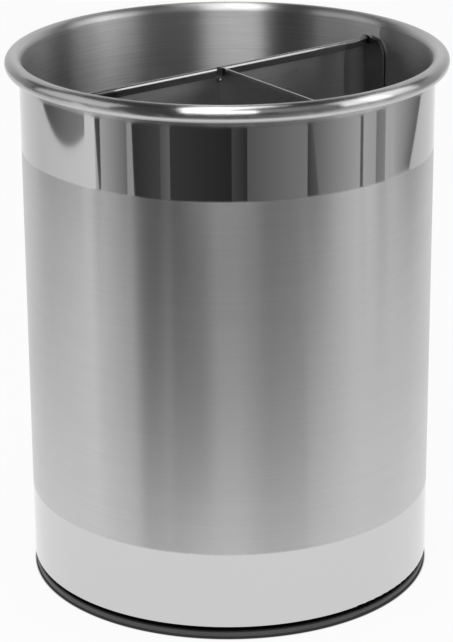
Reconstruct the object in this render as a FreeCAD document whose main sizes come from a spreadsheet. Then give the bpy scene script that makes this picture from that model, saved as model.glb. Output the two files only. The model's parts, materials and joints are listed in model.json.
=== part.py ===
import FreeCAD, Part
import math
import os

import Sketcher

# Turning steel utensil crock with a lift-out divider. Millimetres and degrees, Z up, and the
# origin on the axis of the drum at the height of the counter.

# Driving dimensions: name, value, meaning
DIMENSIONS = [
    ("overall_height", 198.4, "counter to the top of the rolled rim"),
    ("drum_od", 150.0, "outside diameter of the straight wall"),
    ("wall_sheet", 1.0, "sheet of the drum wall"),
    ("bead_od", 6.1, "tube diameter of the rolled rim"),
    ("curl_gap", 0.3, "free edge of the rolled rim to the wall"),
    ("shadow_gap", 1.5, "foot to the lower edge of the drum"),
    ("floor_sheet", 0.8, "sheet of the drum floor"),
    ("floor_flange", 8.0, "height of the turned-down edge of the drum floor"),
    ("floor_bend", 2.4, "outer bend radius of the drum floor"),
    ("floor_fit", 0.1, "drum floor to the wall it is welded into"),
    ("foot_step", 0.4, "face of the drum wall to the edge of the foot"),
    ("foot_height", 3.1, "counter to the top of the foot's edge"),
    ("foot_edge", 0.5, "edge radius of the foot"),
    ("grip_stand", 0.6, "how far the grip ring stands below the foot"),
    ("grip_sunk", 1.2, "depth of the grip ring's groove"),
    ("grip_inset", 3.1, "edge of the foot to the grip ring"),
    ("grip_width", 8.0, "radial width of the grip ring"),
    ("grip_fit", 0.2, "grip ring to the sides of its groove"),
    ("grip_edge", 0.4, "edge radius of the grip ring"),
    ("shield_gap", 1.8, "dust wall of the foot to the drum wall"),
    ("shield_wall", 1.6, "thickness of the dust wall"),
    ("shield_height", 2.2, "dust wall above the foot's plate"),
    ("rib_thickness", 1.6, "stiffening ribs of the foot"),
    ("rib_height", 2.2, "stiffening ribs above the foot's plate"),
    ("rib_count", 12, "stiffening ribs of the foot"),
    ("ballast_flange", 2.7, "thickness of the ballast's clamped edge"),
    ("ballast_height", 10.0, "whole height of the ballast"),
    ("ballast_overlap", 3.2, "edge of the ballast under the race"),
    ("ballast_fit", 0.4, "ballast to what surrounds it"),
    ("ballast_bevel", 1.0, "bevel on the ballast"),
    ("pitch_d", 100.0, "pitch circle of the balls"),
    ("ball_d", 5.0, "ball diameter"),
    ("ball_count", 20, "balls in the turntable"),
    ("ball_play", 0.08, "ball to the races"),
    ("pocket_play", 0.15, "ball to the pockets of the cage"),
    ("shoulder_gap", 1.0, "pitch circle to the shoulder of either race"),
    ("race_half", 4.2, "height of each half of the inner race"),
    ("inner_width", 15.0, "radial width of the inner race"),
    ("outer_width", 8.0, "radial width of the outer race"),
    ("running_gap", 1.0, "fixed pieces to turning pieces of the turntable"),
    ("race_bevel", 0.6, "bevel on the edges of the races"),
    ("cage_wall", 0.9, "sheet of the ball cage"),
    ("cage_height", 7.2, "height of the ball cage"),
    ("screw_d", 3.0, "thread diameter of the foot screws"),
    ("screw_head_d", 6.0, "head diameter of the foot screws"),
    ("screw_length", 12.0, "length of the foot screws"),
    ("screw_play", 0.1, "foot screws to their holes"),
    ("screw_inset", 5.0, "shoulder of the inner race to the screw axes"),
    ("screw_count", 4, "foot screws"),
    ("recess_span", 3.2, "cross recess, tip to tip"),
    ("recess_slot", 0.8, "cross recess, width of a slot"),
    ("recess_depth", 1.1, "cross recess, depth"),
    ("rivet_d", 3.2, "shank diameter of the race rivets"),
    ("rivet_head_d", 6.0, "head diameter of the race rivets"),
    ("rivet_head", 1.0, "head height of the race rivets"),
    ("rivet_play", 0.05, "rivets to their holes"),
    ("rivet_inset", 4.0, "shoulder of the outer race to the rivet axes"),
    ("rivet_count", 4, "race rivets"),
    ("mat_thickness", 2.0, "sheet of the floor mat"),
    ("mat_gap", 0.8, "edge of the floor mat to the drum wall"),
    ("mat_rib", 0.5, "height of the mat's grip ribs"),
    ("mat_ribs", 8, "grip ribs on the mat"),
    ("mat_rib_start", 8.0, "radius of the innermost grip rib"),
    ("mat_rib_margin", 9.2, "outermost grip rib to the edge of the mat"),
    ("head_room", 0.3, "rivet heads to their pockets in the mat"),
    ("divider_sheet", 0.8, "sheet of the divider"),
    ("divider_drop", 7.1, "rim top to the top of the divider"),
    ("divider_rest", 0.3, "divider to the ribs of the mat"),
    ("divider_offset", 4.6, "middle of the main wall to the drum axis"),
    ("hem_gap", 0.6, "clear width inside the hem, at the fold"),
    ("hem_height", 3.4, "height of the hem"),
    ("hem_lean", 10.0, "lean of the hem's leg back to the sheet, degrees"),
    ("hem_share", 0.88, "share of a swept end that is hemmed"),
    ("hem_slot_left", 2.0, "slot in the hem, left of the half wall"),
    ("hem_slot_right", 0.5, "slot in the hem, right of the half wall"),
    ("sweep_run", 13.0, "length of the swept end of the main wall"),
    ("sweep_turn", 21.8, "how far the main wall sweeps back, degrees"),
    ("flange_width", 10.3, "end flanges along the drum wall"),
    ("flange_gap", 0.3, "end flanges to the drum wall"),
    ("flange_round", 7.0, "upper corner radius of the end flanges"),
    ("flange_foot_round", 3.0, "lower corner radius of the flanges"),
    ("half_lean", 4.7, "lean of the half wall from square, degrees"),
    ("weld_gap", 0.05, "half wall to the main wall"),
    ("weld_width", 8.0, "weld flange of the half wall"),
    ("weld_spot_d", 3.6, "spot welds on the weld flange"),
    ("weld_spot_depth", 0.15, "depth of the spot welds"),
    ("weld_spot_count", 5, "spot welds on the weld flange"),
    ("weld_spot_margin", 14.0, "end of the weld flange to the first spot weld"),
    ("tack_d", 1.6, "tack weld at the top of the joint"),
    ("tack_drop", 4.8, "top of the divider to the tack weld"),
]


class Size:
    """A number together with the sheet formula that gives it."""

    def __init__(self, number, formula):
        self.number = float(number)
        self.formula = formula

    def joined(self, sign, other, number):
        return Size(number, f"({self.formula} {sign} {as_size(other).formula})")

    def __add__(self, other):
        return self.joined("+", other, self.number + as_size(other).number)

    def __sub__(self, other):
        return self.joined("-", other, self.number - as_size(other).number)

    def __mul__(self, other):
        return self.joined("*", other, self.number * as_size(other).number)

    def __truediv__(self, other):
        return self.joined("/", other, self.number / as_size(other).number)

    def __neg__(self):
        return Size(-self.number, f"(0 - {self.formula})")


def as_size(value):
    return value if isinstance(value, Size) else Size(value, repr(float(value)))


def root(size):
    return Size(math.sqrt(size.number), f"sqrt({size.formula})")


def leg(longest, other):
    """The second short side of a right-angled triangle."""
    return root(longest * longest - other * other)


def sine(angle):
    return Size(math.sin(math.radians(angle.number)), f"sin({angle.formula})")


def cosine(angle):
    return Size(math.cos(math.radians(angle.number)), f"cos({angle.formula})")


doc = FreeCAD.newDocument("UtensilCrock")
sheet = doc.addObject("Spreadsheet::Sheet", "Dimensions")
dim = {}
for row, (alias, value, meaning) in enumerate(DIMENSIONS, start=1):
    sheet.set(f"A{row}", meaning)
    sheet.set(f"B{row}", str(value))
    sheet.setAlias(f"B{row}", alias)
    dim[alias] = Size(value, f"Dimensions.{alias}")
doc.recompute()

ZERO = as_size(0)

# Drum
wall_out = dim["drum_od"] / 2
wall_in = wall_out - dim["wall_sheet"]
bead_r = dim["bead_od"] / 2
bead_centre_r = wall_in + bead_r
bead_centre_z = dim["overall_height"] - bead_r
drum_bottom = dim["foot_height"] + dim["shadow_gap"]

# Turntable, from the counter up
plate_top = dim["foot_height"]
seat_top = plate_top + dim["ballast_flange"]
bearing_z = seat_top + dim["race_half"]
inner_top = bearing_z + dim["race_half"]
floor_bottom = inner_top + dim["running_gap"]
floor_top = floor_bottom + dim["floor_sheet"]
mat_top = floor_top + dim["mat_thickness"]

# Turntable, from the axis out
pitch_r = dim["pitch_d"] / 2
groove_r = dim["ball_d"] / 2 + dim["ball_play"]
inner_shoulder = pitch_r - dim["shoulder_gap"]
outer_shoulder = pitch_r + dim["shoulder_gap"]
inner_bore = inner_shoulder - dim["inner_width"]
outer_rim = outer_shoulder + dim["outer_width"]
outer_bottom = plate_top + dim["rib_height"] + dim["running_gap"]
screw_r = inner_shoulder - dim["screw_inset"]
rivet_r = outer_shoulder + dim["rivet_inset"]
shield_r = wall_in - dim["shield_gap"]
foot_r = wall_out - dim["foot_step"]
grip_out = foot_r - dim["grip_inset"]
grip_in = grip_out - dim["grip_width"]
ballast_r = inner_bore + dim["ballast_overlap"]
seat_in = ballast_r + dim["ballast_fit"]
seat_out = inner_shoulder - dim["running_gap"]

# Divider
divider_top = dim["overall_height"] - dim["divider_drop"]
divider_bottom = mat_top + dim["mat_rib"] + dim["divider_rest"]
divider_height = divider_top - divider_bottom
half_sheet = dim["divider_sheet"] / 2
fold_in = dim["hem_gap"] / 2
fold_out = fold_in + dim["divider_sheet"]
fold_z = divider_top - fold_out
hem_foot = divider_top - dim["hem_height"]
hem_face = half_sheet + dim["hem_gap"] + dim["divider_sheet"]
flange_out = wall_in - dim["flange_gap"]
flange_in = flange_out - dim["divider_sheet"]
flange_middle = flange_out - half_sheet


def new_body(name):
    body = doc.addObject("PartDesign::Body", name)
    body.Label = name
    return body


def origin_feature(body, role):
    return next(item for item in body.Origin.OriginFeatures if item.Role == role)


def bind(thing, prop, size):
    setattr(thing, prop, size.number)
    thing.setExpression(prop, size.formula)


def new_sketch(body, plane, name, offset=ZERO, turn=ZERO):
    """A sketch on an origin plane, moved along its normal and turned about its upright axis."""
    sketch = body.newObject("Sketcher::SketchObject", name)
    sketch.AttachmentSupport = [(origin_feature(body, plane), "")]
    sketch.MapMode = "FlatFace"
    spin = FreeCAD.Rotation(FreeCAD.Vector(0, 1, 0), turn.number)
    sketch.AttachmentOffset = FreeCAD.Placement(FreeCAD.Vector(0, 0, offset.number), spin)
    sketch.setExpression("AttachmentOffset.Base.z", offset.formula)
    return sketch


def constrain(sketch, kind, *items, size=None):
    """Add a constraint and, where it has a size, bind it to the sheet."""
    values = [] if size is None else [size.number]
    index = sketch.addConstraint(Sketcher.Constraint(kind, *items, *values))
    if size is not None:
        sketch.setExpression(f"Constraints[{index}]", size.formula)


def place_along(sketch, geometry, end, kind, size):
    """Fix a point by one distance from the sketch's origin."""
    axis = -2 if kind == "DistanceX" else -1
    if abs(size.number) < 1e-9:
        constrain(sketch, "PointOnObject", geometry, end, axis)
    elif size.number > 0:
        constrain(sketch, kind, -1, 1, geometry, end, size=size)
    else:
        constrain(sketch, kind, geometry, end, -1, 1, size=-size)


def place_point(sketch, geometry, end, x, y):
    place_along(sketch, geometry, end, "DistanceX", x)
    place_along(sketch, geometry, end, "DistanceY", y)


class Bend:
    """A circular stretch of an outline: its centre, its radius and which way it runs."""

    def __init__(self, x, y, radius, clockwise):
        self.x = x
        self.y = y
        self.radius = radius
        self.clockwise = clockwise

    def arc(self, start, end):
        first, last = (end, start) if self.clockwise else (start, end)
        centre = FreeCAD.Vector(self.x.number, self.y.number, 0)
        angles = [math.atan2(p[1].number - centre.y, p[0].number - centre.x) for p in (first, last)]
        if angles[1] <= angles[0]:
            angles[1] += 2 * math.pi
        circle = Part.Circle(centre, FreeCAD.Vector(0, 0, 1), self.radius.number)
        return Part.ArcOfCircle(circle, *angles)


def place_centre(sketch, index, bend, start, end):
    """Fix the one freedom that an arc between two set points has left, across its chord."""
    across = [abs(end[part].number - start[part].number) for part in (0, 1)]
    if across[0] >= across[1]:
        place_along(sketch, index, 3, "DistanceY", bend.y)
    else:
        place_along(sketch, index, 3, "DistanceX", bend.x)


def draw_outline(sketch, steps):
    """Draw a closed outline: corners as (x, y) pairs, with a Bend between two where it is round."""
    corners = []
    bends = {}
    for step in steps:
        if isinstance(step, Bend):
            bends[len(corners) - 1] = step
        else:
            corners.append(tuple(as_size(part) for part in step))
    ends = []
    for number, corner in enumerate(corners):
        target = corners[(number + 1) % len(corners)]
        bend = bends.get(number)
        if bend:
            index = sketch.addGeometry(bend.arc(corner, target), False)
            ends.append((index, 2, 1) if bend.clockwise else (index, 1, 2))
            place_centre(sketch, index, bend, corner, target)
        else:
            points = [FreeCAD.Vector(p[0].number, p[1].number, 0) for p in (corner, target)]
            index = sketch.addGeometry(Part.LineSegment(*points), False)
            ends.append((index, 1, 2))
    for number, (index, start, end) in enumerate(ends):
        following = ends[(number + 1) % len(ends)]
        constrain(sketch, "Coincident", index, end, following[0], following[1])
        place_point(sketch, index, start, *corners[number])


def draw_circle(sketch, x, y, radius):
    centre = FreeCAD.Vector(x.number, y.number, 0)
    index = sketch.addGeometry(Part.Circle(centre, FreeCAD.Vector(0, 0, 1), radius.number), False)
    constrain(sketch, "Radius", index, size=radius)
    place_point(sketch, index, 3, x, y)


def draw_axis(sketch, x):
    """An upright construction line that a revolved feature turns about."""
    line = Part.LineSegment(FreeCAD.Vector(x.number, 0, 0), FreeCAD.Vector(x.number, 1, 0))
    index = sketch.addGeometry(line, True)
    constrain(sketch, "Vertical", index)
    place_point(sketch, index, 1, x, ZERO)
    constrain(sketch, "DistanceY", index, 1, index, 2, size=as_size(1))


def revolve(body, name, steps, kind="PartDesign::Revolution", axis_x=None, offset=ZERO):
    """Turn an outline of radius and height about Z, or about an upright axis at axis_x."""
    sketch = new_sketch(body, "XZ_Plane", f"{name}_profile", offset)
    draw_outline(sketch, steps)
    if axis_x is not None:
        draw_axis(sketch, axis_x)
    feature = body.newObject(kind, name)
    feature.Profile = sketch
    feature.ReferenceAxis = (sketch, ["V_Axis" if axis_x is None else "Axis0"])
    feature.Angle = 360.0
    return feature


def pad(body, name, steps, base, height):
    """Raise a plan outline from the height base."""
    sketch = new_sketch(body, "XY_Plane", f"{name}_plan", base)
    draw_outline(sketch, steps)
    feature = body.newObject("PartDesign::Pad", name)
    feature.Profile = sketch
    bind(feature, "Length", height)
    return feature


def bore(body, name, radius_out, radius, base, depth):
    """Sink a round hole, standing off the axis along X, upwards from the height base."""
    sketch = new_sketch(body, "XY_Plane", f"{name}_plan", base)
    draw_circle(sketch, radius_out, ZERO, radius)
    feature = body.newObject("PartDesign::Pocket", name)
    feature.Profile = sketch
    feature.Reversed = True
    bind(feature, "Length", depth)
    return feature


def ring_of(body, name, originals, count):
    """Repeat features round the Z axis."""
    pattern = body.newObject("PartDesign::PolarPattern", name)
    pattern.Originals = originals
    pattern.Axis = (origin_feature(body, "Z_Axis"), [""])
    pattern.Angle = 360.0
    pattern.Occurrences = int(count.number)
    pattern.setExpression("Occurrences", count.formula)
    body.Tip = pattern
    return pattern


def round_corner(body, name, plane, offset, depth, tip, level, radius, inward, upward):
    """Round one corner of a sheet, where its free edge at tip meets the height level."""
    beyond = dim["divider_sheet"]
    side = tip + radius * inward
    foot = level - radius * upward
    sketch = new_sketch(body, plane, f"{name}_outline", offset)
    draw_outline(sketch, [
        (tip, foot), Bend(side, foot, radius, inward * upward > 0), (side, level),
        (side, level + beyond * upward), (tip - beyond * inward, level + beyond * upward),
        (tip - beyond * inward, foot),
    ])
    cut = body.newObject("PartDesign::Pocket", name)
    cut.Profile = sketch
    bind(cut, "Length", depth)
    return cut


# Foot: everything that stands still on the counter


def make_foot_pan():
    """Moulded foot with the groove for the grip ring, the race seat, the dust wall and ribs."""
    body = new_body("foot_pan")
    under = dim["grip_stand"]
    roof = under + dim["grip_sunk"]
    groove_in = grip_in - dim["grip_fit"]
    groove_out = grip_out + dim["grip_fit"]
    edge = dim["foot_edge"]
    shield_in = shield_r - dim["shield_wall"]
    shield_top = plate_top + dim["shield_height"]
    revolve(body, "pan", [
        (ZERO, under), (groove_in, under), (groove_in, roof), (groove_out, roof), (groove_out, under),
        (foot_r - edge, under), Bend(foot_r - edge, under + edge, edge, False), (foot_r, under + edge),
        (foot_r, plate_top - edge), Bend(foot_r - edge, plate_top - edge, edge, False), (foot_r - edge, plate_top),
        (shield_r, plate_top), (shield_r, shield_top), (shield_in, shield_top), (shield_in, plate_top),
        (seat_out, plate_top), (seat_out, seat_top), (seat_in, seat_top), (seat_in, plate_top),
        (ZERO, plate_top),
    ])
    half_rib = dim["rib_thickness"] / 2
    sunk = dim["foot_edge"]
    rib = pad(body, "rib", [
        (seat_out - sunk, -half_rib), (shield_in + sunk, -half_rib),
        (shield_in + sunk, half_rib), (seat_out - sunk, half_rib),
    ], plate_top - sunk, dim["rib_height"] + sunk)
    ring_of(body, "ribs", [rib], dim["rib_count"])
    hole = revolve(body, "screw_hole", screw_outline(dim["screw_play"]), "PartDesign::Groove", screw_r)
    ring_of(body, "screw_holes", [hole], dim["screw_count"])
    return body


def make_grip_ring():
    """Soft ring in the foot's groove, with two shallow treads and rounded lower edges."""
    body = new_body("grip_ring")
    top = dim["grip_stand"] + dim["grip_sunk"]
    edge = dim["grip_edge"]
    third = dim["grip_width"] / 3
    treads = []
    for number in (1, 2):
        middle = grip_in + third * number
        treads += [(middle - edge, ZERO), Bend(middle, ZERO, edge, True), (middle + edge, ZERO)]
    revolve(body, "ring", [
        (grip_in + edge, ZERO), *treads,
        (grip_out - edge, ZERO), Bend(grip_out - edge, edge, edge, False), (grip_out, edge),
        (grip_out, top), (grip_in, top), (grip_in, edge), Bend(grip_in + edge, edge, edge, False),
    ])
    return body


def make_ballast():
    """Cast weight whose edge is clamped under the inner race."""
    body = new_body("ballast_weight")
    bevel = dim["ballast_bevel"]
    boss = inner_bore - dim["ballast_fit"]
    top = plate_top + dim["ballast_height"]
    revolve(body, "weight", [
        (ZERO, plate_top), (ballast_r - bevel, plate_top), (ballast_r, plate_top + bevel),
        (ballast_r, seat_top), (boss, seat_top), (boss, top - bevel), (boss - bevel, top), (ZERO, top),
    ])
    return body


def groove_depth():
    """How high the ball groove opens on a race's shoulder, from the middle of the balls."""
    return leg(groove_r, dim["shoulder_gap"])


def make_inner_race_lower():
    body = new_body("inner_race_lower")
    bevel = dim["race_bevel"]
    bottom = pitch_r - groove_r
    revolve(body, "race", [
        (inner_bore, seat_top), (inner_shoulder - bevel, seat_top), (inner_shoulder, seat_top + bevel),
        (inner_shoulder, bearing_z - groove_depth()), Bend(pitch_r, bearing_z, groove_r, True),
        (bottom, bearing_z), (inner_bore, bearing_z),
    ])
    radius = dim["screw_d"] / 2 + dim["screw_play"]
    hole = bore(body, "screw_hole", screw_r, radius, seat_top, dim["race_half"])
    ring_of(body, "screw_holes", [hole], dim["screw_count"])
    return body


def make_inner_race_upper():
    body = new_body("inner_race_upper")
    bevel = dim["race_bevel"]
    bottom = pitch_r - groove_r
    revolve(body, "race", [
        (inner_bore, bearing_z), (bottom, bearing_z), Bend(pitch_r, bearing_z, groove_r, True),
        (inner_shoulder, bearing_z + groove_depth()), (inner_shoulder, inner_top - bevel),
        (inner_shoulder - bevel, inner_top), (inner_bore + bevel, inner_top), (inner_bore, inner_top - bevel),
    ])
    radius = dim["screw_d"] / 2 + dim["screw_play"]
    depth = dim["grip_stand"] + dim["screw_length"] + dim["screw_play"] - bearing_z
    hole = bore(body, "screw_hole", screw_r, radius, bearing_z, depth)
    ring_of(body, "screw_holes", [hole], dim["screw_count"])
    return body


def screw_outline(play):
    """Half section of a countersunk screw, head down, standing at the screw circle."""
    under = dim["grip_stand"]
    shank = dim["screw_d"] / 2 + play
    head = dim["screw_head_d"] / 2 + play
    end = under + dim["screw_length"] + play
    return [
        (screw_r, under), (screw_r + head, under), (screw_r + shank, under + head - shank),
        (screw_r + shank, end), (screw_r, end),
    ]


def make_foot_screws():
    """Countersunk screws that clamp the foot and both halves of the inner race."""
    body = new_body("foot_screws")
    screw = revolve(body, "screw", screw_outline(ZERO), axis_x=screw_r)
    reach = dim["recess_span"] / 2
    slot = dim["recess_slot"] / 2
    sketch = new_sketch(body, "XY_Plane", "recess_plan", dim["grip_stand"])
    quarter = [(reach, -slot), (reach, slot), (slot, slot)]
    corners = []
    for _ in range(4):
        corners += [(screw_r + x, y) for x, y in quarter]
        quarter = [(-y, x) for x, y in quarter]
    draw_outline(sketch, corners)
    recess = body.newObject("PartDesign::Pocket", "recess")
    recess.Profile = sketch
    recess.Reversed = True
    bind(recess, "Length", dim["recess_depth"])
    ring_of(body, "screws", [screw, recess], dim["screw_count"])
    return body


# Cage: the balls and what spaces them


def make_ball_cage():
    body = new_body("ball_cage")
    half_wall = dim["cage_wall"] / 2
    low = bearing_z - dim["cage_height"] / 2
    high = bearing_z + dim["cage_height"] / 2
    revolve(body, "band", [
        (pitch_r - half_wall, low), (pitch_r + half_wall, low),
        (pitch_r + half_wall, high), (pitch_r - half_wall, high),
    ])
    sketch = new_sketch(body, "YZ_Plane", "pocket_plan")
    draw_circle(sketch, ZERO, bearing_z, dim["ball_d"] / 2 + dim["pocket_play"])
    pocket = body.newObject("PartDesign::Pocket", "pocket")
    pocket.Profile = sketch
    pocket.Reversed = True
    bind(pocket, "Length", outer_shoulder)
    ring_of(body, "pockets", [pocket], dim["ball_count"])
    return body


def make_bearing_balls():
    """Separate balls on the pitch circle, kept together as one group."""
    count = int(dim["ball_count"].number)
    balls = []
    for number in range(count):
        ball = doc.addObject("Part::Sphere", f"ball_{number + 1}")
        bind(ball, "Radius", dim["ball_d"] / 2)
        angle = as_size(number) * 360 / dim["ball_count"]
        spot = (pitch_r * cosine(angle), pitch_r * sine(angle), bearing_z)
        ball.Placement.Base = FreeCAD.Vector(*[size.number for size in spot])
        for letter, size in zip("xyz", spot):
            ball.setExpression(f"Placement.Base.{letter}", size.formula)
        balls.append(ball)
    group = doc.addObject("Part::Compound", "bearing_balls")
    group.Label = "bearing_balls"
    group.Links = balls
    return group


# Drum: the steel can and what turns with it


def make_drum_shell():
    """Straight wall whose upper edge is rolled outwards into a hollow bead."""
    body = new_body("drum_shell")
    half_wall = dim["wall_sheet"] / 2
    curl_in = bead_r - dim["wall_sheet"]
    free_x = bead_centre_r - wall_out - dim["curl_gap"]
    free_z = leg(bead_r, free_x)
    share = curl_in / bead_r
    revolve(body, "wall", [
        (wall_in, drum_bottom + half_wall),
        Bend(wall_in + half_wall, drum_bottom + half_wall, half_wall, False),
        (wall_out, drum_bottom + half_wall),
        (wall_out, bead_centre_z), Bend(bead_centre_r, bead_centre_z, curl_in, True),
        (bead_centre_r - free_x * share, bead_centre_z - free_z * share),
        (bead_centre_r - free_x, bead_centre_z - free_z),
        Bend(bead_centre_r, bead_centre_z, bead_r, False),
        (wall_in, bead_centre_z),
    ])
    return body


def make_drum_floor():
    """Pressed floor with a turned-down edge, welded into the wall above the turntable."""
    body = new_body("drum_floor")
    rim = wall_in - dim["floor_fit"]
    bend = dim["floor_bend"]
    low = floor_top - dim["floor_flange"]
    turn_z = floor_top - bend
    revolve(body, "floor", [
        (ZERO, floor_bottom), (rim - bend, floor_bottom),
        Bend(rim - bend, turn_z, bend - dim["floor_sheet"], True), (rim - dim["floor_sheet"], turn_z),
        (rim - dim["floor_sheet"], low), (rim, low), (rim, turn_z),
        Bend(rim - bend, turn_z, bend, False), (rim - bend, floor_top), (ZERO, floor_top),
    ])
    radius = dim["rivet_d"] / 2 + dim["rivet_play"]
    hole = bore(body, "rivet_hole", rivet_r, radius, floor_bottom, dim["floor_sheet"])
    ring_of(body, "rivet_holes", [hole], dim["rivet_count"])
    return body


def rivet_outline(play):
    """Half section of a rivet below its head, with the closed end countersunk."""
    shank = dim["rivet_d"] / 2 + play
    closed = shank + dim["rivet_head"]
    return [
        (rivet_r, outer_bottom), (rivet_r + closed, outer_bottom),
        (rivet_r + shank, outer_bottom + dim["rivet_head"]),
    ]


def make_outer_race():
    body = new_body("outer_race")
    bevel = dim["race_bevel"]
    rise = groove_depth()
    revolve(body, "race", [
        (outer_shoulder + bevel, outer_bottom), (outer_rim - bevel, outer_bottom),
        (outer_rim, outer_bottom + bevel), (outer_rim, floor_bottom - bevel), (outer_rim - bevel, floor_bottom),
        (outer_shoulder + bevel, floor_bottom), (outer_shoulder, floor_bottom - bevel),
        (outer_shoulder, bearing_z + rise), Bend(pitch_r, bearing_z, groove_r, True),
        (outer_shoulder, bearing_z - rise), (outer_shoulder, outer_bottom + bevel),
    ])
    shank = dim["rivet_d"] / 2 + dim["rivet_play"]
    hole = revolve(body, "rivet_hole", [
        *rivet_outline(dim["rivet_play"]), (rivet_r + shank, floor_bottom), (rivet_r, floor_bottom),
    ], "PartDesign::Groove", rivet_r)
    ring_of(body, "rivet_holes", [hole], dim["rivet_count"])
    return body


def make_race_rivets():
    """Low domed rivets that hold the outer race to the drum floor."""
    body = new_body("race_rivets")
    shank = dim["rivet_d"] / 2
    head = dim["rivet_head_d"] / 2
    rise = dim["rivet_head"]
    dome = (head * head + rise * rise) / (rise * 2)
    rivet = revolve(body, "rivet", [
        *rivet_outline(ZERO), (rivet_r + shank, floor_top), (rivet_r + head, floor_top),
        Bend(rivet_r, floor_top + rise - dome, dome, False), (rivet_r, floor_top + rise),
    ], axis_x=rivet_r)
    ring_of(body, "rivets", [rivet], dim["rivet_count"])
    return body


def make_floor_mat():
    """Soft mat on the drum floor, with grip ribs above and pockets for the rivet heads below."""
    body = new_body("floor_mat")
    rib = dim["mat_rib"]
    edge = wall_in - dim["mat_gap"]
    pitch = (edge - dim["mat_rib_margin"] - dim["mat_rib_start"]) / (dim["mat_ribs"] - 1)
    ribs = []
    for number in reversed(range(int(dim["mat_ribs"].number))):
        middle = dim["mat_rib_start"] + pitch * number
        ribs += [(middle + rib, mat_top), Bend(middle, mat_top, rib, False), (middle - rib, mat_top)]
    revolve(body, "sheet", [
        (ZERO, floor_top), (edge, floor_top), (edge, mat_top - rib), (edge - rib, mat_top),
        *ribs, (ZERO, mat_top),
    ])
    radius = dim["rivet_head_d"] / 2 + dim["head_room"]
    pocket = bore(body, "head_pocket", rivet_r, radius, floor_top, dim["rivet_head"] + dim["head_room"])
    ring_of(body, "head_pockets", [pocket], dim["rivet_count"])
    return body


# Divider: two folded sheets that lift out together


def hemmed_section(middle):
    """Upright section of a sheet whose top is folded over to the front, the leg leaning back to the sheet."""
    lean = dim["hem_lean"]
    slope = sine(lean) / cosine(lean)
    face = middle - half_sheet
    back = middle + half_sheet
    fold = face - fold_in

    def leg_top(radius):
        return fold - radius * cosine(lean), fold_z - radius * sine(lean)

    def leg_foot(radius):
        x, z = leg_top(radius)
        return x + (z - hem_foot) * slope, hem_foot

    return [
        (face, divider_bottom), (back, divider_bottom), (back, fold_z),
        Bend(fold, fold_z, fold_out, False), leg_top(fold_out), leg_foot(fold_out),
        leg_foot(fold_in), leg_top(fold_in), Bend(fold, fold_z, fold_in, True), (face, fold_z),
    ]


def make_main_wall():
    """Main wall: hemmed length with swept ends, and flanges that follow the drum wall."""
    body = new_body("divider_main_wall")
    middle = dim["divider_offset"]
    turn = dim["sweep_turn"]
    hem_turn = turn * dim["hem_share"]
    sweep_r = dim["sweep_run"] / sine(turn)
    centre_y = middle + sweep_r
    fold_y = centre_y - sweep_r * cosine(turn)
    fold_x = leg(flange_middle, fold_y)
    straight = fold_x - dim["sweep_run"]
    sketch = new_sketch(body, "YZ_Plane", "straight_section")
    draw_outline(sketch, hemmed_section(middle))
    wall = body.newObject("PartDesign::Pad", "straight")
    wall.Profile = sketch
    wall.SideType = "Symmetric"
    bind(wall, "Length", straight * 2)

    slot_foot = hem_foot - dim["hem_gap"]
    slot_left = -(half_sheet + dim["hem_slot_left"])
    slot_right = half_sheet + dim["hem_slot_right"]
    front = middle - hem_face * 2
    sketch = new_sketch(body, "XY_Plane", "slot_plan", slot_foot)
    draw_outline(sketch, [
        (slot_left, front), (slot_right, front), (slot_right, middle - half_sheet), (slot_left, middle - half_sheet),
    ])
    slot = body.newObject("PartDesign::Pocket", "slot")
    slot.Profile = sketch
    slot.Reversed = True
    bind(slot, "Length", divider_top - slot_foot + fold_out)

    sketch = new_sketch(body, "YZ_Plane", "sweep_section", straight)
    draw_outline(sketch, hemmed_section(middle))
    draw_axis(sketch, centre_y)
    sweep = body.newObject("PartDesign::Revolution", "sweep")
    sweep.Profile = sketch
    sweep.ReferenceAxis = (sketch, ["Axis0"])
    bind(sweep, "Angle", hem_turn)

    near_r = sweep_r - half_sheet
    far_r = sweep_r + half_sheet

    def on_sweep(radius, angle):
        return straight + radius * sine(angle), centre_y - radius * cosine(angle)

    plain = pad(body, "plain_end", [
        on_sweep(far_r, hem_turn), Bend(straight, centre_y, far_r, False), on_sweep(far_r, turn),
        on_sweep(near_r, turn), Bend(straight, centre_y, near_r, True), on_sweep(near_r, hem_turn),
    ], divider_bottom, divider_height)
    end_y = fold_y - dim["flange_width"]
    flange = pad(body, "flange", [
        (leg(flange_in, fold_y), fold_y), Bend(ZERO, ZERO, flange_in, True), (leg(flange_in, end_y), end_y),
        (leg(flange_out, end_y), end_y), Bend(ZERO, ZERO, flange_out, False), (leg(flange_out, fold_y), fold_y),
    ], divider_bottom, divider_height)
    sketch = new_sketch(body, "XY_Plane", "fold_plan", divider_bottom)
    draw_circle(sketch, fold_x, fold_y, half_sheet)
    fold = body.newObject("PartDesign::Pad", "fold")
    fold.Profile = sketch
    bind(fold, "Length", divider_height)

    depth = flange_out - leg(flange_in, fold_y) + dim["divider_sheet"]
    upper = round_corner(body, "upper_corner", "YZ_Plane", flange_out, depth, end_y, divider_top,
                         dim["flange_round"], 1, 1)
    lower = round_corner(body, "lower_corner", "YZ_Plane", flange_out, depth, end_y, divider_bottom,
                         dim["flange_foot_round"], 1, -1)
    both = body.newObject("PartDesign::Mirrored", "both_ends")
    both.Originals = [sweep, plain, flange, fold, upper, lower]
    both.MirrorPlane = (origin_feature(body, "YZ_Plane"), [""])
    body.Tip = both
    return body


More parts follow.
